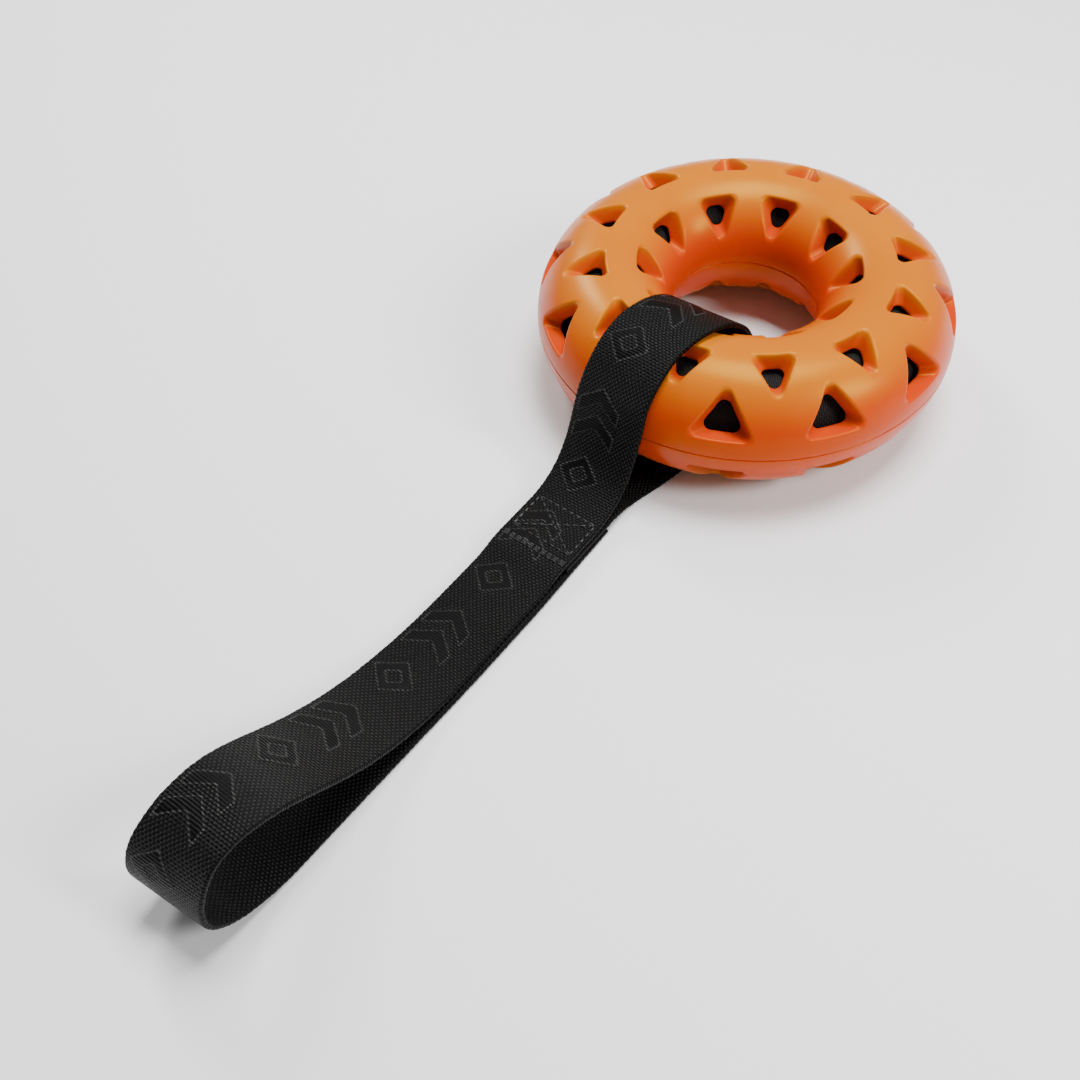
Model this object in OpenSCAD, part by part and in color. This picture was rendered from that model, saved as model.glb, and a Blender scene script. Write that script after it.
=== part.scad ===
// Ring-shaped training bumper: a two-part rubber shell with triangular windows round a
// cloth-covered foam core, and a webbing strap sewn into a handle loop.
// The origin is on the ring's axis, on the surface that the bumper lies on, and the handle
// points along -Y.

/* [Ring] */
// Outside diameter of the ring
ring_d = 164; // [150:1:180]
// Diameter of the ring's round tube
tube_d = 53; // [50:0.5:56]
// Thickness of the shell's wall
wall = 7; // [5:0.5:8]
// How far the ring has turned under the strap, in degrees
ring_turn = -6; // [-9:0.5:-3]

/* [Windows] */
// Number of windows in each outer row
outer_windows = 12; // [10:1:12]
// Number of windows in each inner row
inner_windows = 10; // [8:1:10]
// Radius of a window's corners
corner_r = 2; // [1.5:0.1:2.5]

/* [Core] */
// Gap between the shell and the core
core_gap = 0.8; // [0.7:0.1:1.5]
// Thickness of the core's woven cover
cover_t = 0.8; // [0.5:0.1:1.2]

/* [Strap] */
// Width of the webbing
webbing_w = 30; // [25:1:32]
// Thickness of the webbing
webbing_t = 2.2; // [1.8:0.1:2.4]
// Distance from the ring's axis to the strap's end
handle_reach = 302; // [290:1:330]
// Height of the handle loop
loop_h = 42; // [34:1:46]
// Length of the sewn stack of layers
stack_l = 27; // [24:1:30]
// Sideways place of the strap's centre line
strap_x = -6; // [-7:0.5:-5]

/* [Hidden] */

shell_colour = [1.00, 0.50, 0.10];
foam_colour = [0.85, 0.85, 0.80];
cover_colour = [0.10, 0.10, 0.11];
webbing_colour = [0.06, 0.06, 0.065];
thread_colour = [0.12, 0.12, 0.13];

round_fn = 120;
thread_fn = 16;

// The tube: its radius, the radius of its centre line, and the height of that line
tube_r = tube_d / 2;
ring_r = (ring_d - tube_d) / 2;
fit_gap = 0.3;
layer_gap = 0.1;
wrap_r = tube_r + fit_gap + webbing_t / 2;
ring_z = wrap_r + webbing_t / 2;

// The shell's inside, and the tongue that locates one half in the other
inside_r = tube_r - wall;
tongue_w = 2;
tongue_h = 1.6;
tongue_gap = 0.1;

// The core
core_r = inside_r - core_gap;
seam_thread_r = 0.3;
seam_stitch_l = 3.6;
outer_stitches = 90;
inner_stitches = 45;

// A row of windows: [angles of base and apex up the tube, half angle of the base round the
// ring, number, turn of the first window from the strap]. The angle up the tube is 0 at the
// ring's outer edge, 90 on top and 180 at the hole.
ROW_TOP = [88, 51, 8.3, outer_windows, 180 / outer_windows];
ROW_OUTER = [18, 59, 8.0, outer_windows, 0];
ROW_INNER = [120, 157, 10, inner_windows, 180 / inner_windows];
// The cuts are straight, so they are smaller than the flared mouths of the windows
mouth_share = 0.78;
side_share = 0.995;
// Where the ring's own surfaces start, from the strap: a turn at which no row has a window
seam_turn = 7.4;

// The strap runs in the plane of u, the distance from the ring's axis towards the handle,
// and z. Its neck is where the ring loop meets the sewn stack and the handle folds.
neck_u = 103;
neck_z = webbing_t + layer_gap / 2;
stack_u = neck_u + neck_z + fit_gap;
stack_end_u = stack_u + stack_l;
layer_z = [for (i = [0:2]) webbing_t / 2 + i * (webbing_t + layer_gap)];
// Where the upper run leaves the tube, and where it lies flat before the neck
leave_angle = 20;
flat_u = neck_u - 5;
// The band is wide and flat, so it stands off the curved wall of the hole
hole_r = ring_r - tube_r;
hole_shift = 3;
band_reach = webbing_w / 2 + hole_shift;
inner_u = sqrt(pow(hole_r, 2) - pow(band_reach, 2)) + tube_r;
// The sideways slip starts outside the tube's centre line and grows over this run
slip_start = 22;
slip_run = 45;
// The handle loop: its highest point, where its lower run leaves the floor, and where its two
// runs part. The upper run comes down in an S, level at both ends of it
crest_u = handle_reach - 20;
touch_u = handle_reach - 36;
part_u = stack_end_u + 40;
bulge_z = loop_h / 2;
crest_z = loop_h - webbing_t / 2;
crest_level = 0.27 * (crest_u - part_u);
part_level = 0.67 * (crest_u - part_u);

// The stitches
thread_r = 0.35;
stitch_l = 2.4;
stitch_pitch = 3.2;
stitch_inset = 2.5;
tack_rows = 3;

function smooth(t) = t * t * (3 - 2 * t);
function between(a, b, t) = a + (b - a) * min(1, max(0, t));
function bezier(a, b, c, d, t) =
  pow(1 - t, 3) * a + 3 * pow(1 - t, 2) * t * b + 3 * (1 - t) * t * t * c + t * t * t * d;
function arc(u, z, ru, rz, from, to, steps) =
  [for (i = [0:steps]) let (a = from + (to - from) * i / steps) [u + ru * cos(a), z + rz * sin(a)]];

// Sideways place of the ring loop's centre line at each point: over the outer side of the
// tube it follows the handle, and in the hole it slips round towards the hole's middle
function slip(p) =
  let (
    over_hole = smooth(between(0, 1, (ring_r + slip_start - p[0]) / slip_run)),
    past_top = smooth(between(0, 1, 2 - 2 * (p[1] - ring_z) / wrap_r))
  )
    strap_x + (hole_shift - strap_x) * over_hole * past_top;

// Points of the ring loop's centre line, from the neck's lower layer round the tube to its upper one
ring_loop_line = concat(
  [for (u = [neck_u, 92, 80, 68]) [u, layer_z[0]]],
  [[ring_r, layer_z[0]]],
  arc(inner_u, ring_z, wrap_r, wrap_r, -90, -270, 24),
  arc(ring_r, ring_z, wrap_r, wrap_r, 90, leave_angle, 9),
  [for (i = [1:8]) bezier(
    [ring_r + wrap_r * cos(leave_angle), ring_z + wrap_r * sin(leave_angle)],
    [ring_r + wrap_r * cos(leave_angle) + 5, ring_z - 5],
    [flat_u - 8, layer_z[1]], [flat_u, layer_z[1]], i / 8)],
  [[neck_u, layer_z[1]]]
);

// Points of the handle loop's centre line, from the stack's lowest layer round to its top one
handle_line = concat(
  [for (u = [stack_u, 140, 170, 200, 225, 245]) [u, layer_z[0]]],
  arc(touch_u, bulge_z, handle_reach - webbing_t / 2 - touch_u, bulge_z - layer_z[0], -90, 0, 9),
  arc(crest_u, bulge_z, handle_reach - webbing_t / 2 - crest_u, crest_z - bulge_z, 9, 90, 8),
  [for (i = [1:12]) bezier(
    [crest_u, crest_z], [crest_u - crest_level, crest_z],
    [part_u + part_level, layer_z[1]], [part_u, layer_z[1]], i / 12)],
  [[stack_end_u + 14, layer_z[1]], [stack_end_u + 2, layer_z[2]], [stack_u, layer_z[2]]]
);

// A flat band along a line of [u, z] points, with its own sideways place at each one
module band(line, side) {
  last = len(line) - 1;
  points = [
    for (i = [0:last])
      let (
        step = line[min(last, i + 1)] - line[max(0, i - 1)],
        across = [step[1], -step[0]] / norm(step) * webbing_t / 2,
        x = side[i]
      )
      each [
        for (k = [[-1, -1], [1, -1], [1, 1], [-1, 1]])
          let (p = line[i] + across * k[1])
            [x + k[0] * webbing_w / 2, -p[0], p[1]]
      ]
  ];
  sides = [
    for (i = [0:last - 1])
      for (k = [0:3])
        let (a = 4 * i + k, b = 4 * i + (k + 1) % 4)
          each [[a, b, b + 4], [a, b + 4, a + 4]]
  ];
  first_end = [[0, 3, 2], [0, 2, 1]];
  far = 4 * last;
  last_end = [[far, far + 1, far + 2], [far, far + 2, far + 3]];
  polyhedron(points, concat(sides, first_end, last_end));
}

// The outline of a triangle with round corners, as its three corner discs and what lies between.
// The sides run a little inside the discs' tangents, so that they cross the discs cleanly.
module round_triangle(half_base, height, r) {
  lean = atan(half_base / height);
  inset = r * (1 + sin(lean)) / cos(lean);
  base = half_base - inset;
  top = height - r - r / sin(lean);
  across = r * side_share * cos(lean);
  rise = r * side_share * sin(lean);
  union() {
    for (p = [[-base, r], [base, r], [0, top]])
      translate(p) circle(r = r, $fn = 32);
    polygon([
      [-base, r - r * side_share], [base, r - r * side_share],
      [base + across, r + rise], [across, top + rise],
      [-across, top + rise], [-base - across, r + rise]
    ]);
  }
}

// One window's straight cut. Its triangle stands on its base and points to its apex.
module window(base_at, apex_at, half_angle) {
  middle = (base_at + apex_at) / 2;
  half_base = (ring_r + tube_r * cos(base_at)) * sin(half_angle) * mouth_share;
  height = tube_r * abs(apex_at - base_at) * PI / 180 * mouth_share;
  up = apex_at > base_at ? 1 : -1;
  translate([ring_r, 0, 0])
    rotate([0, -middle, 0])
      translate([inside_r - 3, 0, 0])
        rotate([90, 0, 90])
          linear_extrude(wall + 8)
            mirror([0, up < 0 ? 1 : 0, 0])
              translate([0, -height / 2, 0])
                round_triangle(half_base, height, corner_r);
}

module window_row(row) {
  for (i = [0:row[3] - 1])
    rotate(-90 + ring_turn + row[4] + i * 360 / row[3])
      window(row[0], row[1], row[2]);
}

// A ring with a square section, centred on the wall at one side of the tube
module tongue(middle_r, gap, height) {
  rotate_extrude($fn = round_fn)
    translate([middle_r - tongue_w / 2 - gap, 0])
      square([tongue_w + 2 * gap, height]);
}

module tongues(gap, height) {
  middle = inside_r + wall / 2;
  tongue(ring_r + middle, gap, height);
  tongue(ring_r - middle, gap, height);
}

// Half of a hollow ring, above the plane where the halves meet
module half_ring(outer, inner) {
  rotate_extrude($fn = round_fn)
    translate([ring_r, 0])
      intersection() {
        difference() {
          circle(r = outer, $fn = round_fn);
          circle(r = inner, $fn = round_fn);
        }
        translate([-outer, 0]) square([2 * outer, outer]);
      }
}

module windowed_half() {
  difference() {
    rotate(-90 + ring_turn + seam_turn) half_ring(tube_r, inside_r);
    window_row(ROW_TOP);
    window_row(ROW_OUTER);
    window_row(ROW_INNER);
  }
}

// Upper half of the rubber shell, with grooves for the lower half's tongues
module upper_shell() {
  color(shell_colour)
    translate([0, 0, ring_z])
      difference() {
        windowed_half();
        translate([0, 0, -1]) tongues(tongue_gap, tongue_h + tongue_gap + 1);
      }
}

// Lower half of the rubber shell: the same windows, mirrored, and two tongues
module lower_shell() {
  color(shell_colour)
    translate([0, 0, ring_z])
      union() {
        mirror([0, 0, 1]) windowed_half();
        translate([0, 0, -0.5]) tongues(0, tongue_h + 0.5);
      }
}

// Closed-cell foam ring that makes the bumper float
module core_foam() {
  color(foam_colour)
    translate([0, 0, ring_z])
      rotate_extrude($fn = round_fn)
        translate([ring_r, 0]) circle(r = core_r - cover_t, $fn = round_fn);
}

module core_cover_upper() {
  color(cover_colour)
    translate([0, 0, ring_z]) half_ring(core_r, core_r - cover_t);
}

module core_cover_lower() {
  color(cover_colour)
    translate([0, 0, ring_z]) mirror([0, 0, 1]) half_ring(core_r, core_r - cover_t);
}

// Thread that crosses the seam between the cover's panels
module seam_stitches(r, count) {
  color(thread_colour)
    translate([0, 0, ring_z])
      for (i = [0:count - 1])
        rotate(i * 360 / count)
          translate([r, 0, -seam_stitch_l / 2])
            cylinder(r = seam_thread_r, h = seam_stitch_l, $fn = thread_fn);
}

module core_seam_outer() { seam_stitches(ring_r + core_r + seam_thread_r, outer_stitches); }

module core_seam_inner() { seam_stitches(ring_r - core_r - seam_thread_r, inner_stitches); }

// The part of the strap that goes through the hole and round the tube, ending in a round
// fold at the neck
module webbing_ring_loop() {
  color(webbing_colour)
    union() {
      band(ring_loop_line, [for (p = ring_loop_line) slip(p)]);
      translate([strap_x - webbing_w / 2, -neck_u, neck_z])
        rotate([0, 90, 0]) cylinder(r = neck_z, h = webbing_w, $fn = 32);
    }
}

module webbing_handle_loop() {
  color(webbing_colour)
    band(handle_line, [for (p = handle_line) strap_x]);
}

// The strap's loose end, sewn between the lowest and the top layer of the stack
module webbing_tail() {
  color(webbing_colour)
    translate([strap_x - webbing_w / 2, -stack_end_u, layer_z[1] - webbing_t / 2])
      cube([webbing_w, stack_l, webbing_t]);
}

// Stitches in a straight row from one [x, u] point to another, lying on top of the stack
module stitch_row(from, to) {
  along = to - from;
  count = round(norm(along) / stitch_pitch);
  for (i = [0:count - 1])
    let (middle = from + along * (i + 0.5) / count)
      translate([middle[0], -middle[1], layer_z[2] + webbing_t / 2 + thread_r])
        rotate(atan2(-along[1], along[0]))
          rotate([0, 90, 0])
            cylinder(r = thread_r, h = stitch_l, center = true, $fn = thread_fn);
}

// Box with a cross, the usual seam of a load-bearing strap
module box_stitch() {
  left = strap_x - webbing_w / 2 + stitch_inset;
  right = strap_x + webbing_w / 2 - stitch_inset;
  near = stack_u + 2 * stitch_inset;
  far = stack_end_u - 2 * stitch_inset;
  middle = [left + right, near + far] / 2;
  clear = 1.5;
  cross_gap = 0.12;
  color(thread_colour) {
    stitch_row([left + clear, near], [right - clear, near]);
    stitch_row([left + clear, far], [right - clear, far]);
    stitch_row([left, near + clear], [left, far - clear]);
    stitch_row([right, near + clear], [right, far - clear]);
    for (x = [left + 2 * clear, right - 2 * clear])
      for (u = [near + 2 * clear, far - 2 * clear])
        stitch_row([x, u], [x, u] * cross_gap + middle * (1 - cross_gap));
  }
}

// A dense row of thread straight across the strap
module bar_tack(u) {
  color(thread_colour)
    for (i = [0:tack_rows - 1])
      translate([strap_x - webbing_w / 2 + stitch_inset, -u - (i - 1) * 2.1 * thread_r,
                 layer_z[2] + webbing_t / 2 + thread_r])
        rotate([0, 90, 0])
          cylinder(r = thread_r, h = webbing_w - 2 * stitch_inset, $fn = thread_fn);
}

module bar_tack_neck() { bar_tack(stack_u + stitch_inset / 2); }

module bar_tack_handle() { bar_tack(stack_end_u - stitch_inset / 2); }

upper_shell();
lower_shell();
core_foam();
core_cover_upper();
core_cover_lower();
core_seam_outer();
core_seam_inner();
webbing_ring_loop();
webbing_handle_loop();
webbing_tail();
box_stitch();
bar_tack_neck();
bar_tack_handle();
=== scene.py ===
import math

import bpy
import numpy as np
from mathutils import Matrix, Vector
from mathutils.geometry import delaunay_2d_cdt


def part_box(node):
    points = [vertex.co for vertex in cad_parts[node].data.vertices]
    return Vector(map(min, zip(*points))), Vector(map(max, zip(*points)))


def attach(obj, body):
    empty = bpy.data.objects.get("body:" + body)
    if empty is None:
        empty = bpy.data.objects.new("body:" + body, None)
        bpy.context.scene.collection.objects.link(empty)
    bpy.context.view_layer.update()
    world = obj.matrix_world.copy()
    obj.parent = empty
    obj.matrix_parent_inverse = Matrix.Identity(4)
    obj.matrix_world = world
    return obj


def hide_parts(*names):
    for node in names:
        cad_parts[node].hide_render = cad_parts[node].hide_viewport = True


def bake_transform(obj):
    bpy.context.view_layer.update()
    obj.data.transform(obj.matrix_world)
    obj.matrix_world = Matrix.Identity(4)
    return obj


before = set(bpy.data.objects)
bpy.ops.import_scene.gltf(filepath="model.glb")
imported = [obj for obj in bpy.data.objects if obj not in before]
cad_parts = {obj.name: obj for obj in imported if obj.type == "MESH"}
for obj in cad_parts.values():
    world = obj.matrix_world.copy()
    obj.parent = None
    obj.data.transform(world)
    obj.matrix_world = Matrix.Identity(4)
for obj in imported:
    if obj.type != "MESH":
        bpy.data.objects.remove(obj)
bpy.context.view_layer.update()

# ---------------------------------------------------------------------------------------------
# Sizes, in metres. The ring's and the strap's main sizes come from the frame.
# ---------------------------------------------------------------------------------------------
MM = 0.001

shell_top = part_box("upper_shell")[1]
shell_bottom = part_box("lower_shell")[0]
cover_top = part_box("core_cover_upper")[1]
tail_low, tail_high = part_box("webbing_tail")
handle_low, handle_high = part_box("webbing_handle_loop")

TUBE_R = (shell_top.z - shell_bottom.z) / 2
RING_R = shell_top.x - TUBE_R
RING_Z = shell_top.z - TUBE_R
WALL = 7 * MM
INSIDE_R = TUBE_R - WALL
CORE_R = cover_top.z - RING_Z
COVER_T = 0.8 * MM

# Windows: the rubber rolls over a soft rim and leans in to a smaller opening
RIM_R = 1.35 * MM
EDGE_R = 1.1 * MM
LIP_OUT = 0.75 * MM
WALL_INSET = 3.0 * MM
OUTER_CORNER_R = 2.4 * MM
INNER_CORNER_R = 2.6 * MM

# Angles up the tube run from the ring's outer edge (0) over the top (90) to the hole (180).
# A row is (base, apex, half angle of the base, number of windows, angle of the first window).
WINDOW_ROWS = [
    (88.6, 50.6, 8.3, 12, -81),
    (18.0, 59.2, 8.2, 12, -95.6),
    (120.0, 158.1, 10.6, 10, -77.4),
]

# The line where the two halves meet: (distance from the line, depth) across the groove
GROOVE = [(0.0, 0.18 * MM), (0.14 * MM, 0.1 * MM), (0.34 * MM, 0.03 * MM), (0.7 * MM, 0.0)]
GROOVE_TILT = math.radians(55)

# The shell's mesh: points round its outer rim and round the hole, and the size of its triangles
OUTER_RIM_POINTS, HOLE_RIM_POINTS = 304, 112
OUTER_TRIANGLE, INNER_TRIANGLE = 1.75 * MM, 2.2 * MM

# Strap
WEB_W = tail_high.x - tail_low.x
WEB_T = tail_high.z - tail_low.z
STRAP_X = (tail_high.x + tail_low.x) / 2
STACK_U = -tail_high.y
STACK_END_U = -tail_low.y
HANDLE_U = -handle_low.y
LOOP_H = handle_high.z
LAYERS = [WEB_T / 2 + i * tail_low.z for i in range(3)]

# Weave: distances between weft threads along the strap and warp threads across it
WEFT_PITCH = 1.05 * MM
WARP_PITCH = 0.85 * MM


# ---------------------------------------------------------------------------------------------
# Camera, floor and lights
# ---------------------------------------------------------------------------------------------
def turned(axis, degrees):
    return Matrix.Rotation(math.radians(degrees), 4, axis)


def add_camera():
    """A camera that starts on an orbit round the ring's centre, facing it, and is then turned in place."""
    azimuth, elevation, distance = 25.7, 40.2, 0.4826
    yaw, pitch, roll = 8.42, -12.16, 6.14
    orbit = turned("Z", azimuth) @ turned("X", 90 - elevation)
    centre = Vector((0, 0, RING_Z))
    data = bpy.data.cameras.new("camera")
    data.lens = 38.94
    data.sensor_width = 36
    camera = bpy.data.objects.new("camera", data)
    place = Matrix.Translation(centre + orbit @ Vector((0, 0, distance)))
    camera.matrix_world = place @ orbit @ turned("Y", yaw) @ turned("X", pitch) @ turned("Z", roll)
    bpy.context.scene.collection.objects.link(camera)
    bpy.context.scene.camera = camera


def area_light(name, place, aim, size, power):
    data = bpy.data.lights.new(name, "AREA")
    data.shape = "RECTANGLE"
    data.size, data.size_y = size
    data.energy = power
    light = bpy.data.objects.new(name, data)
    light.location = place
    light.rotation_mode = "QUATERNION"
    light.rotation_quaternion = (Vector(aim) - Vector(place)).to_track_quat("-Z", "Y")
    bpy.context.scene.collection.objects.link(light)


def add_lights():
    aim = (0, -0.08, 0.02)
    area_light("overhead", (0.0, 0.2, 1.15), aim, (0.6, 0.5), 23)
    area_light("left_softbox", (-0.85, 0.3, 0.75), aim, (0.2, 0.4), 8)
    area_light("right_softbox", (0.85, 0.1, 0.7), aim, (0.2, 0.4), 10)
    world = bpy.data.worlds.new("studio")
    world.use_nodes = True
    background = world.node_tree.nodes["Background"]
    background.inputs["Color"].default_value = (1, 1, 1, 1)
    background.inputs["Strength"].default_value = 0.2
    bpy.context.scene.world = world


def add_floor():
    half, drop = 3.0, 0.2 * MM
    floor = new_mesh("floor", [(-half, -half, 0), (half, -half, 0), (half, half, 0), (-half, half, 0)],
                     [(0, 1, 2, 3)], smooth=False)
    floor.location.z = -drop
    m = Nodes("floor")
    m.set(Base_Color=(0.92, 0.92, 0.92), Roughness=0.65)
    paint(floor, m)


# ---------------------------------------------------------------------------------------------
# Meshes and materials, in general
# ---------------------------------------------------------------------------------------------
def new_mesh(name, points, faces, normals=None, weave=None, smooth=True):
    """A mesh object. weave holds (along, across, raised) for each point, for the woven materials."""
    mesh = bpy.data.meshes.new(name)
    mesh.from_pydata([tuple(p) for p in points], [], [tuple(f) for f in faces])
    if smooth:
        mesh.shade_smooth()
    if weave is not None:
        attribute = mesh.attributes.new("weave", "FLOAT_VECTOR", "POINT")
        attribute.data.foreach_set("vector", np.asarray(weave, np.float32).ravel())
    if normals is not None:
        mesh.normals_split_custom_set_from_vertices([tuple(n) for n in normals])
    piece = bpy.data.objects.new(name, mesh)
    bpy.context.scene.collection.objects.link(piece)
    return piece


class Nodes:
    """A material's node tree. A value is a number, a colour or another node's output."""

    def __init__(self, name):
        self.material = bpy.data.materials.new(name)
        self.material.use_nodes = True
        self.tree = self.material.node_tree
        self.tree.nodes.clear()
        output = self.tree.nodes.new("ShaderNodeOutputMaterial")
        self.shader = self.tree.nodes.new("ShaderNodeBsdfPrincipled")
        self.tree.links.new(self.shader.outputs[0], output.inputs[0])

    def give(self, socket, value):
        if isinstance(value, bpy.types.NodeSocket):
            self.tree.links.new(value, socket)
        elif hasattr(value, "__len__") and socket.type == "RGBA":
            socket.default_value = (*value[:3], 1)
        else:
            socket.default_value = value

    def set(self, **values):
        for name, value in values.items():
            self.give(self.shader.inputs[name.replace("_", " ")], value)

    def node(self, kind, output=0, settings=(), **values):
        made = self.tree.nodes.new("ShaderNode" + kind)
        for name, value in dict(settings).items():
            setattr(made, name, value)
        for name, value in values.items():
            self.give(made.inputs[name.replace("_", " ")], value)
        return made.outputs[output]

    def math(self, operation, *values):
        made = self.tree.nodes.new("ShaderNodeMath")
        made.operation = operation
        for socket, value in zip(made.inputs, values):
            self.give(socket, value)
        return made.outputs[0]

    def length(self, a, b):
        """The length of the vector (a, b)."""
        return self.math("SQRT", self.math("ADD", self.math("MULTIPLY", a, a), self.math("MULTIPLY", b, b)))

    def band(self, value, low, high, to_low=0.0, to_high=1.0):
        """value taken smoothly from low..high to to_low..to_high."""
        made = self.tree.nodes.new("ShaderNodeMapRange")
        made.interpolation_type = "SMOOTHSTEP"
        for socket, given in zip(made.inputs, (value, low, high, to_low, to_high)):
            self.give(socket, given)
        return made.outputs[0]

    def mix(self, share, a, b):
        """A colour between a and b."""
        made = self.tree.nodes.new("ShaderNodeMix")
        made.data_type = "RGBA"
        for socket, value in ((made.inputs[0], share), (made.inputs[6], a), (made.inputs[7], b)):
            self.give(socket, value)
        return made.outputs[2]

    def place(self):
        return self.node("TexCoord", output=3)

    def woven_place(self):
        """(along, across, raised), as the mesh stores them for its weave."""
        stored = self.node("Attribute", output=1, settings={"attribute_name": "weave"})
        return self.node("SeparateXYZ", Vector=stored).node.outputs

    def noise(self, scale, detail=2.0, vector=None):
        return self.node("TexNoise", Vector=vector or self.place(), Scale=scale, Detail=detail)

    def bump(self, height, distance, strength=1.0, below=None):
        values = {"Height": height, "Distance": distance, "Strength": strength}
        if below is not None:
            values["Normal"] = below
        return self.node("Bump", **values)


def paint(piece, nodes):
    piece.data.materials.clear()
    piece.data.materials.append(nodes.material)


# ---------------------------------------------------------------------------------------------
# Materials
# ---------------------------------------------------------------------------------------------
def rubber_material():
    """Satin orange thermoplastic rubber with a slightly uneven face. Its orange is painted deeper in the
    windows and towards the line where the halves meet, a painted shade, and painted yellower towards the
    crown of each half, a painted light."""
    # The window walls get a painted shade (deeper orange) from these depths under the shell's face. The
    # crown gets a painted light (yellower orange) from these heights above and below the line where the
    # halves meet
    window_depth, face_depth = 3 * MM, 0.4 * MM
    painted_light_from, painted_light_full = 9 * MM, 27 * MM
    m = Nodes("orange_rubber")
    x, y, z = m.node("SeparateXYZ", Vector=m.place()).node.outputs
    aside = m.math("SUBTRACT", m.length(x, y), RING_R)
    above = m.math("SUBTRACT", z, RING_Z)
    # 1 on the shell's face and 0.25 in the windows, whose walls take the painted shade
    face = m.band(m.length(aside, above), TUBE_R - window_depth, TUBE_R - face_depth, 0.25, 1.0)
    painted_light_crown = m.math("MULTIPLY", face, m.band(m.math("ABSOLUTE", above), painted_light_from, painted_light_full))
    cloud = m.band(m.noise(28, 3.0), 0.35, 0.65)
    # Painted shade orange and painted light orange, each with a random cloud of tone
    painted_shade_orange = m.mix(cloud, (0.49, 0.032, 0.0), (0.51, 0.037, 0.0))
    painted_light_orange = m.mix(cloud, (0.48, 0.125, 0.0), (0.50, 0.137, 0.0))
    m.set(
        Base_Color=m.mix(painted_light_crown, painted_shade_orange, painted_light_orange),
        Roughness=m.band(m.noise(55, 3.0), 0.3, 0.7, 0.28, 0.33),
        IOR=1.4,
        Specular_IOR_Level=0.35,
        Specular_Tint=(1.0, 0.85, 0.08),
    )
    m.set(Normal=m.bump(m.noise(42, 1.0), 0.0006, 0.12))
    return m


def woven(m, along, across, weft_pitch, warp_pitch):
    """Heights, from 0 to 1, of a plain weave: warp threads that rise over every second weft thread, and the
    ribs of the weft."""
    rows = m.math("DIVIDE", along, weft_pitch)
    columns = m.math("DIVIDE", across, warp_pitch)
    thread = m.math("ABSOLUTE", m.math("SINE", m.math("MULTIPLY", columns, math.pi)))
    side = m.math("MULTIPLY", m.math("FLOOR", columns), math.pi)
    lift = m.math("SINE", m.math("ADD", m.math("MULTIPLY", rows, math.pi), side))
    warp = m.math("MULTIPLY", thread, m.band(lift, -0.35, 0.75))
    rib = m.math("ABSOLUTE", m.math("SINE", m.math("MULTIPLY", rows, math.pi)))
    return warp, rib


def cloth_material(name, dark, light, weft_pitch, warp_pitch):
    """Black plain-woven cloth. Its threads' crests are painted lighter and the gaps between them darker:
    painted highlight and painted shade.
    """
    m = Nodes(name)
    along, across, _ = m.woven_place()
    warp, rib = woven(m, along, across, weft_pitch, warp_pitch)
    height = m.math("MAXIMUM", warp, m.math("MULTIPLY", rib, 0.55))
    m.set(
        # Painted highlight on the crests and painted shade in the gaps
        Base_Color=m.mix(height, dark, light),
        Roughness=0.62,
        Specular_IOR_Level=0.2,
        Normal=m.bump(height, 0.00025, 0.9),
    )
    return m


def webbing_material():
    """Black nylon webbing: a plain ground weave, and a pattern of smooth dark strokes edged with glossy ribs
    that cross the strap. The threads' crests are painted lighter and the gaps between them darker, a painted
    glint and painted shade, and the ribs are painted lighter still, a painted sheen for their gloss."""
    m = Nodes("webbing")
    along, across, raised = m.woven_place()
    warp, rib = woven(m, along, across, WEFT_PITCH, WARP_PITCH)
    ground = m.math("MAXIMUM", warp, m.math("MULTIPLY", rib, 0.4))
    pattern = m.band(raised, 0.2, 0.5)
    stroke = m.band(raised, 0.75, 0.95)
    edging = m.math("SUBTRACT", pattern, stroke)
    ribs = m.math("MULTIPLY", rib, m.math("ADD", m.math("MULTIPLY", edging, 0.7), 0.3))
    height = m.math("ADD", m.math("MULTIPLY", ground, m.math("SUBTRACT", 1.0, pattern)),
                    m.math("MULTIPLY", ribs, pattern))
    fuzz = m.noise(1700, 2.0)
    # Painted glint and painted shade: the threads' crests lighter and the gaps between them darker
    painted_glint_and_shade = m.math("MULTIPLY", m.math("POWER", height, 1.7), m.band(fuzz, 0.3, 0.7, 0.4, 1.0))
    selvedge_from, selvedge_full = WEB_W / 2 - 0.9 * MM, WEB_W / 2 - 0.3 * MM
    selvedge = m.band(m.math("ABSOLUTE", across), selvedge_from, selvedge_full, 1.0, 0.2)
    patches = m.band(m.noise(14, 3.0), 0.3, 0.7, 0.75, 1.0)
    # Random patches of wear and the darker edges, on top of the painted glint and shade
    wear_and_painted_glint = m.math("MULTIPLY", painted_glint_and_shade, m.math("MULTIPLY", selvedge, patches))
    ground_colour = m.mix(wear_and_painted_glint, (0.0001, 0.0001, 0.0001), (0.034, 0.034, 0.033))
    # The ribs' colour is lighter: a painted sheen for their gloss
    rib_colour_with_painted_sheen = m.mix(wear_and_painted_glint, (0.0003, 0.0003, 0.0003), (0.075, 0.075, 0.073))
    m.set(
        Base_Color=m.mix(edging, ground_colour, rib_colour_with_painted_sheen),
        Roughness=m.band(fuzz, 0.2, 0.8, 0.36, 0.5),
        Specular_IOR_Level=0.08,
    )
    m.set(Normal=m.bump(height, 0.0004, 1.0, m.bump(fuzz, 0.00004, 0.4)))
    return m


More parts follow.
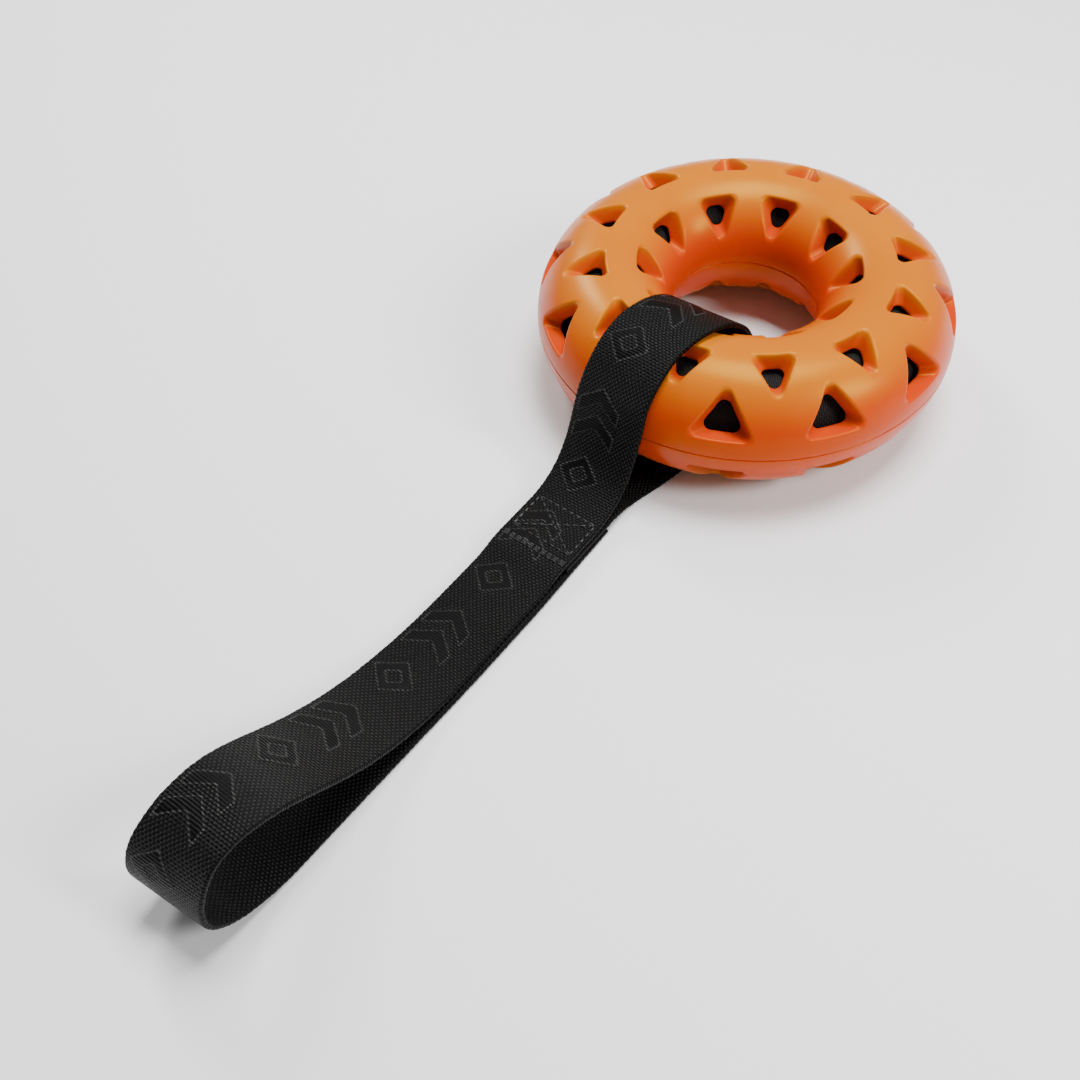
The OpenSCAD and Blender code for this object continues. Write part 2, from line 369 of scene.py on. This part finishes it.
def thread_material(name, colour):
    """Bonded nylon thread: two plies twisted together, seen as fine slanting lines. The grooves between the
    plies are painted darker, a painted shade.
    """
    m = Nodes(name)
    twist = m.node("TexWave", Vector=m.place(), Scale=380.0, Distortion=1.5, Detail=1.0,
                   settings={"bands_direction": "DIAGONAL"})
    m.set(
        # Painted shade: darker in the grooves between the plies
        Base_Color=m.mix(twist, [c * 0.4 for c in colour], colour),
        Roughness=0.4,
        Specular_IOR_Level=0.5,
        Normal=m.bump(twist, 0.0001, 0.7),
    )
    return m


def foam_material():
    """Closed-cell foam: small cells, each a slight dent."""
    m = Nodes("closed_cell_foam")
    cells = m.node("TexVoronoi", Vector=m.place(), Scale=900.0)
    tone = m.band(m.noise(60, 2.0), 0.3, 0.7)
    m.set(
        Base_Color=m.mix(tone, (0.72, 0.71, 0.66), (0.8, 0.79, 0.75)),
        Roughness=0.75,
        Normal=m.bump(m.band(cells, 0.0, 0.5), 0.0002, 0.6),
    )
    return m


# ---------------------------------------------------------------------------------------------
# The rubber shells
# ---------------------------------------------------------------------------------------------
def on_tube(phi, theta, r):
    """Points at radius r from the tube's centre line, phi up the tube and theta round the ring."""
    reach = RING_R + r * np.cos(phi)
    return np.stack([reach * np.cos(theta), reach * np.sin(theta), RING_Z + r * np.sin(phi)], -1)


def tube_normal(phi, theta):
    return np.stack([np.cos(phi) * np.cos(theta), np.cos(phi) * np.sin(theta), np.sin(phi)], -1)


def flattened(phi, theta, r):
    """The tube's surface mapped to a flat ring, keeping its angles, so that its triangles stay even."""
    root = math.sqrt(RING_R**2 - r**2)
    share = math.sqrt((RING_R - r) / (RING_R + r))
    run = 2 * r / root * np.arctan(share * np.tan(phi / 2))
    return np.exp(-run)[:, None] * np.stack([np.cos(theta), np.sin(theta)], -1)


def rounded_triangle(half_base, height, corner, corner_steps=7, side_steps=11):
    """A triangle with round corners, base on the first axis: its outline from the left end of the base,
    and the radius of the circle that fits in it, whose centre is on the second axis at that height."""
    tips = np.array([(-half_base, 0), (half_base, 0), (0, height)])
    sides = np.roll(tips, -1, 0) - tips
    heading = np.arctan2(sides[:, 1], sides[:, 0])
    arcs = []
    for i in range(3):
        arriving = heading[i - 1]
        turn = (heading[i] - arriving) % (2 * math.pi)
        inward = arriving + (turn + math.pi) / 2
        centre = tips[i] + corner / math.cos(turn / 2) * np.array([math.cos(inward), math.sin(inward)])
        outward = arriving - math.pi / 2 + turn * np.linspace(0, 1, corner_steps + 1)
        arcs.append(centre + corner * np.stack([np.cos(outward), np.sin(outward)], -1))
    outline = []
    for i in range(3):
        outline.extend(arcs[i])
        end, following = arcs[i][-1], arcs[(i + 1) % 3][0]
        outline.extend(end + (following - end) * k / side_steps for k in range(1, side_steps))
    area = half_base * height
    around = 2 * half_base + 2 * math.hypot(half_base, height)
    return np.array(outline), 2 * area / around


def window_profile():
    """(inset, depth) from the shell's face over the rim, down the leaning wall and round the inner edge."""
    lean = math.atan(WALL_INSET / WALL)
    down = np.array([math.sin(lean), math.cos(lean)])
    rim_turn = math.pi / 2 - lean
    rim_reach = RIM_R * math.tan(rim_turn / 2)
    steps = np.linspace(0, rim_turn, 9)
    rim = np.stack([-rim_reach + RIM_R * np.sin(steps), RIM_R * (1 - np.cos(steps))], -1)
    edge_reach = EDGE_R * math.tan((math.pi / 2 + lean) / 2)
    corner = down * WALL / down[1]
    edge_start = corner - edge_reach * down
    wall = [rim[-1] + (edge_start - rim[-1]) * k / 6 for k in range(1, 6)]
    heading = np.linspace(math.pi / 2 - lean, math.pi, 6)
    centre = edge_start + EDGE_R * np.array([-math.sin(heading[0]), math.cos(heading[0])])
    edge = centre + EDGE_R * np.stack([np.sin(heading), -np.cos(heading)], -1)
    return np.vstack([rim, wall, edge])


def window_grids():
    """For each window, its angles up the tube, angles round the ring and radii. Each of these is an array of
    profile steps by outline points."""
    profile = window_profile()
    inset, depth = profile[:, 0] - LIP_OUT, profile[:, 1][:, None]
    r = TUBE_R - depth
    grids = []
    for base, apex, half, count, first in WINDOW_ROWS:
        base, apex, half = np.radians([base, apex, half])
        up = 1 if apex > base else -1
        half_base = (RING_R + TUBE_R * math.cos(base)) * half
        height = TUBE_R * abs(apex - base)
        fits = rounded_triangle(half_base, height, OUTER_CORNER_R)[1]
        outlines = []
        for inward in inset:
            scale = (fits - inward) / fits
            corner = OUTER_CORNER_R + (INNER_CORNER_R - OUTER_CORNER_R) * max(0, inward) / inset.max()
            outline, middle = rounded_triangle(half_base * scale, height * scale, corner)
            outlines.append(outline[::up] - (0, middle))
        outlines = np.array(outlines)
        rise, across = outlines[:, :, 1], outlines[:, :, 0]
        phi = base + up * fits / TUBE_R + up * rise / r
        for i in range(count):
            theta = math.radians(first) + 2 * math.pi * i / count + across / (RING_R + r * np.cos(phi))
            grids.append((phi, theta, np.broadcast_to(r, phi.shape)))
    return grids


def inside(points, loop):
    """Which points lie inside a closed loop, in the plane."""
    a, b = loop, np.roll(loop, -1, 0)
    x, y = points[:, 0][:, None], points[:, 1][:, None]
    crosses = (a[:, 1] > y) != (b[:, 1] > y)
    slope = (b[:, 0] - a[:, 0]) / np.where(b[:, 1] == a[:, 1], 1, b[:, 1] - a[:, 1])
    return ((crosses & (x < a[:, 0] + slope * (y - a[:, 1]))).sum(1) % 2).astype(bool)


def ring_row(phi, count):
    """Even points round the ring at one angle up the tube."""
    return np.stack([np.full(count, phi), 2 * math.pi * np.arange(count) / count], -1)


def points_between(low, high, r, spacing):
    """Staggered rows of points round the ring, between two angles up the tube."""
    rows = round((high - low) * r / (spacing * 0.9))
    made = []
    for i in range(1, rows):
        phi = low + (high - low) * i / rows
        count = round(2 * math.pi * (RING_R + r * math.cos(phi)) / spacing)
        theta = 2 * math.pi * (np.arange(count) + 0.5 * (i % 2)) / count
        made.append(np.stack([np.full(count, phi), theta], -1))
    return np.vstack(made)


def clear_of(points, loops, holes, r, clearance, block=2000):
    """Which points keep their distance from every loop and lie in no hole, found a block at a time."""
    at = on_tube(points[:, 0], points[:, 1], r)
    flat = flattened(points[:, 0], points[:, 1], r)
    keep = np.ones(len(points), bool)
    for loop in loops:
        loop_at = on_tube(loop[:, 0], loop[:, 1], r)
        for start in range(0, len(points), block):
            part = slice(start, start + block)
            keep[part] &= np.linalg.norm(at[part, None] - loop_at[None], axis=2).min(1) > clearance
    for hole in holes:
        keep &= ~inside(flat, flattened(hole[:, 0], hole[:, 1], r))
    return keep


def filled_surface(rims, holes, r, spacing):
    """Triangles between two rims round the ring, with holes left out. rims and holes are (phi, theta) loops.
    Returns all points as (phi, theta), rims first and then holes, and the triangles."""
    loops = [*rims, *holes]
    free = points_between(rims[0][0, 0], rims[1][0, 0], r, spacing)
    keep = clear_of(free, loops, holes, r, 0.62 * spacing)
    points = np.vstack([*loops, free[keep]])
    on_loops = [np.full(len(loop), i) for i, loop in enumerate(loops)]
    owner = np.concatenate([*on_loops, np.full(keep.sum(), -1)])
    edges, start = [], 0
    for loop in loops:
        n = len(loop)
        edges += [(start + k, start + (k + 1) % n) for k in range(n)]
        start += n
    flat = flattened(points[:, 0], points[:, 1], r)
    made = delaunay_2d_cdt([Vector(p) for p in flat], edges, [], 0, 1e-9)
    source = [ids[0] for ids in made[3]]
    triangles = np.array([[source[v] for v in face] for face in made[2]])
    # A triangle whose corners are all on one hole may lie inside that hole
    owners = owner[triangles]
    same = (owners[:, 0] == owners[:, 1]) & (owners[:, 1] == owners[:, 2])
    middle = flat[triangles].mean(1)
    drop = np.zeros(len(triangles), bool)
    for i, loop in enumerate(loops[1:], 1):
        mine = np.flatnonzero(same & (owners[:, 0] == i))
        drop[mine] = inside(middle[mine], flattened(loop[:, 0], loop[:, 1], r))
    return points, triangles[~drop]


def band_faces(first, second):
    """Quads between two closed rows of the same number of points."""
    return [(a, b, c, d) for a, b, c, d in zip(first, np.roll(first, -1), np.roll(second, -1), second)]


def turned_over(faces):
    return [tuple(f[::-1]) for f in faces]


def lower_half(points, faces):
    """A half mirrored across the plane where the halves meet."""
    return points * (1, 1, -1) + (0, 0, 2 * RING_Z), turned_over(faces)


class ShellParts:
    """Points, normals and faces of a shell, gathered a row at a time."""

    def __init__(self):
        self.points, self.normals, self.faces, self.count = [], [], [], 0

    def add(self, points, normals):
        """Takes in points and returns their numbers."""
        self.points.append(points)
        self.normals.append(normals)
        self.count += len(points)
        return np.arange(self.count - len(points), self.count)


def add_window_walls(parts, grids, outer_start, inner_start):
    """The wall of each window, between its rim on the outer face and its rim on the inner face."""
    steps, around = grids[0][0].shape
    for k, (phi, theta, r) in enumerate(grids):
        at = on_tube(phi, theta, r)
        down = np.gradient(at, axis=0)
        round_it = np.roll(at, -1, 1) - np.roll(at, 1, 1)
        square = np.cross(round_it, down)
        square /= np.linalg.norm(square, axis=2)[:, :, None]
        rim = np.arange(around) + k * around
        rows = [parts.add(at[step], square[step]) for step in range(1, steps - 1)]
        rows = [rim + outer_start, *rows, rim + inner_start]
        for upper, lower in zip(rows, rows[1:]):
            parts.faces += band_faces(upper, lower)


def add_meeting_face(parts, rim, inner_rim, theta, start, side):
    """The groove along the line where the halves meet, and the flat face inside it. side is 1 at the ring's
    outer edge and -1 in the hole."""
    row = rim
    for away, depth in GROOVE[-2::-1]:
        phi = np.full(len(rim), start + side * away / TUBE_R)
        tilt = side * GROOVE_TILT * (1 - away / GROOVE[-1][0])
        following = parts.add(on_tube(phi, theta, TUBE_R - depth), tube_normal(phi - tilt, theta))
        parts.faces += band_faces(*((following, row) if side > 0 else (row, following)))
        row = following
    parts.faces += band_faces(*((inner_rim, row) if side > 0 else (row, inner_rim)))


def shell_mesh(name, sign):
    """Half of the shell: outer face, window walls, inner face and the faces where the halves meet."""
    edge = GROOVE[-1][0] / TUBE_R
    grids = window_grids()
    outer, outer_faces = filled_surface(
        [ring_row(edge, OUTER_RIM_POINTS), ring_row(math.pi - edge, HOLE_RIM_POINTS)],
        [np.stack([phi[0], theta[0]], -1) for phi, theta, _ in grids], TUBE_R, OUTER_TRIANGLE)
    inner, inner_faces = filled_surface(
        [ring_row(0, OUTER_RIM_POINTS), ring_row(math.pi, HOLE_RIM_POINTS)],
        [np.stack([phi[-1], theta[-1]], -1) for phi, theta, _ in grids], INSIDE_R, INNER_TRIANGLE)

    parts = ShellParts()
    parts.add(on_tube(outer[:, 0], outer[:, 1], TUBE_R), tube_normal(outer[:, 0], outer[:, 1]))
    parts.add(on_tube(inner[:, 0], inner[:, 1], INSIDE_R), -tube_normal(inner[:, 0], inner[:, 1]))
    inner_start = len(outer)
    parts.faces += [tuple(f) for f in outer_faces] + turned_over(inner_faces + inner_start)
    rims = OUTER_RIM_POINTS + HOLE_RIM_POINTS
    add_window_walls(parts, grids, rims, inner_start + rims)
    at_edge = np.arange(OUTER_RIM_POINTS)
    at_hole = np.arange(OUTER_RIM_POINTS, rims)
    for rim, start, side in ((at_edge, 0, 1), (at_hole, math.pi, -1)):
        add_meeting_face(parts, rim, rim + inner_start, outer[rim, 1], start, side)

    points, normals, faces = np.vstack(parts.points), np.vstack(parts.normals), parts.faces
    if sign < 0:
        points, faces = lower_half(points, faces)
        normals = normals * (1, 1, -1)
    return new_mesh(name, points, faces, normals)


def add_shells():
    rubber = rubber_material()
    for name, sign, node in (("shell_upper", 1, "upper_shell"), ("shell_lower", -1, "lower_shell")):
        shell = shell_mesh(name, sign)
        paint(shell, rubber)
        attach(shell, "ring")
        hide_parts(node)


# ---------------------------------------------------------------------------------------------
# The core
# ---------------------------------------------------------------------------------------------
def cover_mesh(name, sign):
    """One woven panel of the core's cover, gathered a little towards its inner seam."""
    rows, columns = 56, 420
    phi, theta = np.meshgrid(np.linspace(0, math.pi, rows), 2 * math.pi * np.arange(columns) / columns,
                             indexing="ij")
    to_hole = (phi / math.pi) ** 2
    to_edge = (1 - phi / math.pi) ** 3
    gathers = np.sin(47 * theta + 1.3 * np.sin(5 * theta)) * to_hole + 0.6 * np.sin(31 * theta) * to_edge
    dents = np.sin(3 * phi + 4 * np.sin(2 * theta)) * np.sin(9 * theta + sign)
    even, gather, dent = 0.28 * MM, 0.16 * MM, 0.12 * MM
    depth = even + gather * gathers + dent * dents
    along = theta * RING_R * 1.3
    points, faces, weave = [], [], []
    for r in (CORE_R - depth, CORE_R - depth - COVER_T):
        at = on_tube(phi, theta, r)
        points.append(at.reshape(-1, 3))
        weave.append(np.stack([along, phi * CORE_R, 0 * phi], -1).reshape(-1, 3))
    index = np.arange(rows * columns).reshape(rows, columns)
    second = rows * columns
    for i in range(rows - 1):
        faces += band_faces(index[i + 1], index[i])
        faces += band_faces(index[i] + second, index[i + 1] + second)
    faces += band_faces(index[0] + second, index[0])
    faces += band_faces(index[-1], index[-1] + second)
    points = np.vstack(points)
    if sign < 0:
        points, faces = lower_half(points, faces)
    return new_mesh(name, points, faces, weave=np.vstack(weave))


def add_core():
    cloth = cloth_material("core_cloth", (0.0003, 0.00025, 0.0002), (0.0105, 0.009, 0.008),
                           weft_pitch=0.95 * MM, warp_pitch=1.0 * MM)
    panels = (("cover_upper", 1, "core_cover_upper"), ("cover_lower", -1, "core_cover_lower"))
    for name, sign, node in panels:
        cover = cover_mesh(name, sign)
        paint(cover, cloth)
        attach(cover, "ring")
        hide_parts(node)
    paint(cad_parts["core_foam"], foam_material())
    thread = thread_material("seam_thread", (0.03, 0.03, 0.032))
    for node in ("core_seam_outer", "core_seam_inner"):
        paint(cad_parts[node], thread)


# ---------------------------------------------------------------------------------------------
# The strap
# ---------------------------------------------------------------------------------------------
def smooth(t):
    t = np.clip(t, 0, 1)
    return t * t * (3 - 2 * t)


def line(a, b):
    t = np.linspace(0, 1, 60)[:, None]
    return np.array(a) + (np.array(b) - np.array(a)) * t


def step_up(a, b):
    """A run between two heights that is flat at both ends."""
    t = np.linspace(0, 1, 60)
    return np.stack([a[0] + (b[0] - a[0]) * t, a[1] + (b[1] - a[1]) * smooth(t)], -1)


def bezier(a, b, c, d):
    t = np.linspace(0, 1, 160)[:, None]
    a, b, c, d = (np.array(p) for p in (a, b, c, d))
    return (1 - t) ** 3 * a + 3 * (1 - t) ** 2 * t * b + 3 * (1 - t) * t**2 * c + t**3 * d


def arc(centre, radii, start, end):
    a = np.radians(np.linspace(start, end, 160))
    return np.stack([centre[0] + radii[0] * np.cos(a), centre[1] + radii[1] * np.sin(a)], -1)


def levelled(values, reach):
    """values with each one replaced by the mean of those around it, the ends kept."""
    padded = np.concatenate([np.full(reach, values[0]), values, np.full(reach, values[-1])])
    return np.convolve(padded, np.ones(2 * reach + 1) / (2 * reach + 1), "valid")


def route_parts():
    """The strap's route as lines and curves of (distance from the ring's axis, height). It starts at the end
    in the stack's lowest layer, runs round the handle loop to the top layer, over the tube, through the hole
    and back to the middle layer."""
    low, middle, top = LAYERS
    reach = HANDLE_U - WEB_T / 2
    crest_u, touch_u, bulge_z = reach - 19 * MM, reach - 35 * MM, LOOP_H / 2
    crest = LOOP_H - WEB_T / 2
    part_u = STACK_END_U + 40 * MM
    down_run = crest_u - part_u
    wrap_r = TUBE_R + WEB_T / 2 + 0.25 * MM
    leave = math.radians(20)
    leave_at = (RING_R + wrap_r * math.cos(leave), RING_Z + wrap_r * math.sin(leave))
    tube = (RING_R, RING_Z)
    # Each part with the sideways places of its two ends, in mm from the strap's middle, and whether it wraps
    # the tube
    return [
        (line((STACK_U, low), (150 * MM, low)), 0.2, 1.2, 0),
        (line((150 * MM, low), (185 * MM, low)), 1.2, 1.1, 0),
        (line((185 * MM, low), (touch_u, low)), 1.1, -0.7, 0),
        (arc((touch_u, bulge_z), (reach - touch_u, bulge_z - low), -90, 0), -0.7, -1.3, 0),
        (arc((crest_u, bulge_z), (reach - crest_u, crest - bulge_z), 0, 90), -1.3, -0.9, 0),
        (bezier((crest_u, crest), (crest_u - 0.27 * down_run, crest), (part_u + 0.67 * down_run, middle),
                (part_u, middle)), -0.9, -0.5, 0),
        (line((part_u, middle), (STACK_END_U + 13 * MM, middle)), -0.5, -0.5, 0),
        (step_up((STACK_END_U + 13 * MM, middle), (STACK_END_U + 1 * MM, top)), -0.5, -0.5, 0),
        (line((STACK_END_U + 1 * MM, top), (STACK_U + 7 * MM, top)), -0.5, -0.5, 0),
        (bezier((STACK_U + 7 * MM, top), (91.5 * MM, 7 * MM), (87 * MM, 23 * MM), leave_at), -0.5, -1.3, 0),
        (arc(tube, (wrap_r, wrap_r), 20, 85), -1.3, 0.3, 1),
        (arc(tube, (wrap_r, wrap_r), 85, 135), 0.3, 6.3, 1),
        (arc(tube, (wrap_r, wrap_r), 135, 180), 6.3, 9, 1),
        (arc(tube, (wrap_r, wrap_r), 180, 270), 9, 7.5, 1),
        (line((RING_R, low), (78 * MM, low)), 7.5, 3, 0),
        (line((78 * MM, low), (88 * MM, low)), 3, -0.5, 0),
        (step_up((88 * MM, low), (STACK_U - 1 * MM, middle)), -0.5, 0, 0),
        (line((STACK_U - 1 * MM, middle), (STACK_END_U, middle)), 0, 0, 0),
    ]


def strap_route():
    """The webbing's centre line from end to end, as (x, y, z), with the run along it and how far each place
    belongs to the wrap round the tube, 0 to 1."""
    rows = []
    for points, at_start, at_end, wraps in route_parts():
        x_start, x_end = STRAP_X / MM + at_start, STRAP_X / MM + at_end
        share = np.linspace(0, 1, len(points))
        x = (x_start + (x_end - x_start) * share) * MM
        rows.append(np.stack([x, -points[:, 0], points[:, 1], np.full(len(points), wraps)], -1))
    rows = np.vstack([rows[0]] + [row[1:] for row in rows[1:]])
    gone = np.r_[0, np.cumsum(np.linalg.norm(np.diff(rows[:, 1:3], axis=0), axis=1))]
    moves = np.r_[True, np.diff(gone) > 1e-7]
    rows, gone = rows[moves], gone[moves]
    along = np.linspace(0, gone[-1], round(gone[-1] / (0.85 * MM)) + 1)
    x, y, z, wraps = (np.interp(along, gone, rows[:, k]) for k in range(4))
    for _ in range(2):
        y, z = levelled(y, 2), levelled(z, 2)
        x, wraps = levelled(x, 7), levelled(wraps, 5)
    return np.stack([x, y, z], -1), along, wraps


def unit(vectors):
    return vectors / np.linalg.norm(vectors, axis=-1, keepdims=True)


def off_tube(points):
    """How far points stand off the tube's surface, and the direction straight away from it."""
    out = np.hypot(points[..., 0], points[..., 1])
    radial, up = out - RING_R, points[..., 2] - RING_Z
    gap = np.hypot(radial, up)
    away = np.stack([radial * points[..., 0] / out, radial * points[..., 1] / out, up], -1)
    return gap - TUBE_R, away / gap[..., None]


def strap_frame():
    """The strap's centre line with its sideways and outward directions. Where it wraps the tube it lies
    flat against it, and is pushed out until its edges clear the rubber."""
    centre, along, wraps = strap_route()
    heading = unit(np.gradient(centre, axis=0))
    sideways = unit(np.array([1.0, 0, 0]) - heading[:, :1] * heading)
    away = off_tube(centre)[1]
    flat = unit(np.cross(heading, away))
    sideways = unit(sideways * (1 - wraps[:, None]) + flat * wraps[:, None])
    outward = unit(np.cross(sideways, heading))
    across = np.linspace(-WEB_W / 2, WEB_W / 2, 9)
    near_tube = wraps > 0.02
    in_hole = smooth((RING_R + centre[:, 1]) / (18 * MM))
    above_floor = smooth((centre[:, 2] - RING_Z + TUBE_R) / TUBE_R)
    slack = 0.9 * MM * in_hole * above_floor
    for _ in range(4):
        edges = centre[:, None] + sideways[:, None] * across[None, :, None]
        short = WEB_T / 2 + 0.25 * MM + slack - off_tube(edges)[0].min(1)
        push = levelled(np.clip(short, 0, None) * near_tube, 3)
        centre = centre + outward * push[:, None]
        centre[:, 2] = np.maximum(centre[:, 2], WEB_T / 2 + 0.02 * MM)
    return centre, sideways, outward, along


def raised_pattern(along, across):
    """How far inside the woven pattern a place is, in metres: hollow diamonds and pairs of chevrons."""
    period, reach, size = 54 * MM, 8.7 * MM, 7.8 * MM
    v = across + WEB_W / 2 - 11 * MM
    s = (along + 12 * MM) % period
    from_middle = np.abs(s - 10 * MM) / size
    diamond = (1 - from_middle - np.abs(v) / reach) * 5.4 * MM
    hollow = (from_middle + np.abs(v) / reach - 0.42) * 5.4 * MM
    shape = np.minimum(diamond, hollow)
    for tip in (28 * MM, 38.5 * MM):
        chevron = 2.3 * MM - np.abs(s - tip - (reach - np.abs(v)) * 0.75 + 2 * MM) * 0.8
        shape = np.maximum(shape, np.minimum(chevron, reach - np.abs(v)))
    return shape


def strap_section():
    """The webbing's cross-section, the outer face first: places across and outward, and which points are on
    the outer face."""
    half_w, half_t = WEB_W / 2, WEB_T / 2
    selvedge = 0.8 * MM
    across = np.linspace(-half_w + selvedge, half_w - selvedge, 39)
    turn = np.radians([65, 35, 0, -35, -65])
    side_v = half_w - selvedge + selvedge * np.cos(turn)
    side_n = half_t * np.sin(turn)
    face = np.full(len(across), half_t)
    v = np.concatenate([across, side_v, across[::-1], -side_v])
    n = np.concatenate([face, side_n, -face, -side_n])
    outer = np.arange(len(v)) < len(across)
    return v, n * (1 - 0.08 * np.abs(v / half_w) ** 6), outer


def handle_twist(u):
    """How much the loop twists on its way down, as how much higher its near edge is, for each place."""
    places = np.array([170, 203, 232, 256, 271, 281, 291, 297, 303]) * MM
    higher = np.array([0, -1.8, -2.0, -1.0, 0.2, 1.9, 2.6, 0.8, 0]) * MM
    return levelled(np.interp(u, places, higher) * (np.arange(len(u)) > u.argmax()), 5)


def strap_points(centre, sideways, outward, along, v, n, raised):
    """The strap's points, with its scalloped selvedges, raised pattern and slight twist."""
    u = -centre[:, 1]
    share = v / (WEB_W / 2)
    flutter = levelled(np.random.default_rng(7).standard_normal(len(along)), 1)
    edge = (np.abs(share) > 0.92) * np.sign(v)
    scallop = 0.09 * MM * (np.sin(along / (2.3 * MM) * 2 * math.pi) + 0.7 * flutter)[:, None] * edge
    at = centre[:, None] + sideways[:, None] * (v[None] + scallop)[:, :, None]
    at = at + outward[:, None] * (n[None] + raised * 0.2 * MM)[:, :, None]
    at[:, :, 2] += handle_twist(u)[:, None] * np.where(share > 0, share, 0.6 * share)[None]
    shorter = 1.1 * MM * np.exp(-(((u - HANDLE_U) / (9 * MM)) ** 2))
    at[:, :, 1] += shorter[:, None] * share[None]
    # It lies on the floor and not in it
    at[:, :, 2] = np.maximum(at[:, :, 2], 0)
    return at


def strap_mesh():
    """The whole strap as one mesh, and its length."""
    centre, sideways, outward, along = strap_frame()
    v, n, outer = strap_section()
    raised = smooth(0.5 + raised_pattern(along[:, None], v[None]) / (1.2 * MM)) * outer
    at = strap_points(centre, sideways, outward, along, v, n, raised)
    rows, ring = at.shape[:2]
    index = np.arange(rows * ring).reshape(rows, ring)
    faces = []
    for i in range(rows - 1):
        faces += band_faces(index[i], index[i + 1])
    faces += [tuple(index[0][::-1]), tuple(index[-1])]
    run = np.repeat(along[:, None], ring, 1)
    weave = np.stack([run, np.repeat(v[None], rows, 0), raised], -1)
    strap = new_mesh("webbing_strap", at.reshape(-1, 3), faces, weave=weave.reshape(-1, 3))
    return strap, along[-1]


def add_strap():
    strap, length = strap_mesh()
    paint(strap, webbing_material())
    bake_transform(strap)
    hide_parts("webbing_ring_loop", "webbing_handle_loop", "webbing_tail")


# ---------------------------------------------------------------------------------------------
# Stitching through the stack
# ---------------------------------------------------------------------------------------------
def thread_between(a, b, r, rise, sides=8, steps=8):
    """One stitch: a thread that comes up at a, runs over the webbing and goes down at b."""
    a, b = np.array(a), np.array(b)
    ahead = (b - a) / np.linalg.norm(b - a)
    side = np.cross((0, 0, 1), ahead)
    points = []
    for i in range(steps + 1):
        t = i / steps
        lift = 1 - (2 * t - 1) ** 4
        centre = a + (b - a) * t + np.array((0, 0, rise)) * (lift - 1)
        thick = r * (0.55 + 0.45 * lift)
        for k in range(sides):
            angle = 2 * math.pi * k / sides
            points.append(centre + thick * (math.cos(angle) * side + math.sin(angle) * np.array((0, 0, 1))))
    faces = []
    for i in range(steps):
        for k in range(sides):
            j = (k + 1) % sides
            faces.append((i * sides + k, i * sides + j, (i + 1) * sides + j, (i + 1) * sides + k))
    faces.append(tuple(range(sides))[::-1])
    faces.append(tuple(steps * sides + k for k in range(sides)))
    return points, faces


def stitch_row(start, end, pitch=3.0 * MM, stitch=2.55 * MM, r=0.34 * MM):
    """A straight row of stitches between two (x, u) points, lying on the top layer."""
    start, end = np.array(start), np.array(end)
    count = max(1, round(np.linalg.norm(end - start) / pitch))
    way = (end - start) / np.linalg.norm(end - start)
    surface = LAYERS[2] + WEB_T / 2 + 0.12 * MM
    made = []
    for i in range(count):
        middle = start + (end - start) * (i + 0.5) / count
        a, b = middle - way * stitch / 2, middle + way * stitch / 2
        made.append(thread_between((a[0], -a[1], surface), (b[0], -b[1], surface), r, 0.45 * MM))
    return made


def bar_tack(u, left, right, rows=3):
    """Close rows of stitches across the strap, from u onwards."""
    made = []
    for k in range(rows):
        at = u + k * 0.8 * MM
        made += stitch_row((left, at), (right, at), pitch=2.7 * MM, stitch=2.5 * MM, r=0.36 * MM)
    return made


def joined(name, parts):
    """One mesh of several parts, each given as points and faces."""
    points, faces = [], []
    for some, their in parts:
        start = len(points)
        points += list(some)
        faces += [tuple(start + i for i in f) for f in their]
    return new_mesh(name, points, faces)


def add_stitching():
    inset = 2.4 * MM
    left, right = STRAP_X - WEB_W / 2 + inset, STRAP_X + WEB_W / 2 - inset
    near, far = STACK_U + 2.2 * inset, STACK_END_U - 2.2 * inset
    corners = [(left, near), (right, near), (right, far), (left, far)]
    box = []
    for a, b in zip(corners, corners[1:] + corners[:1]):
        box += stitch_row(a, b)
    box += stitch_row(corners[0], corners[2]) + stitch_row(corners[1], corners[3])
    neck_tack = bar_tack(STACK_U + 0.3 * MM, left - inset / 2, right + inset / 2)
    handle_tack = bar_tack(STACK_END_U - 1.6 * MM, left - inset / 2, right + inset / 2)
    thread = thread_material("stitch_thread", (0.009, 0.009, 0.0092))
    for name, parts, node in (
        ("stitch_box", box, "box_stitch"),
        ("tack_neck", neck_tack, "bar_tack_neck"),
        ("tack_handle", handle_tack, "bar_tack_handle"),
    ):
        piece = joined(name, parts)
        paint(piece, thread)
        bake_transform(piece)
        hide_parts(node)


add_camera()
add_lights()
add_floor()
add_shells()
add_core()
add_strap()
add_stitching()

bpy.context.view_layer.update()
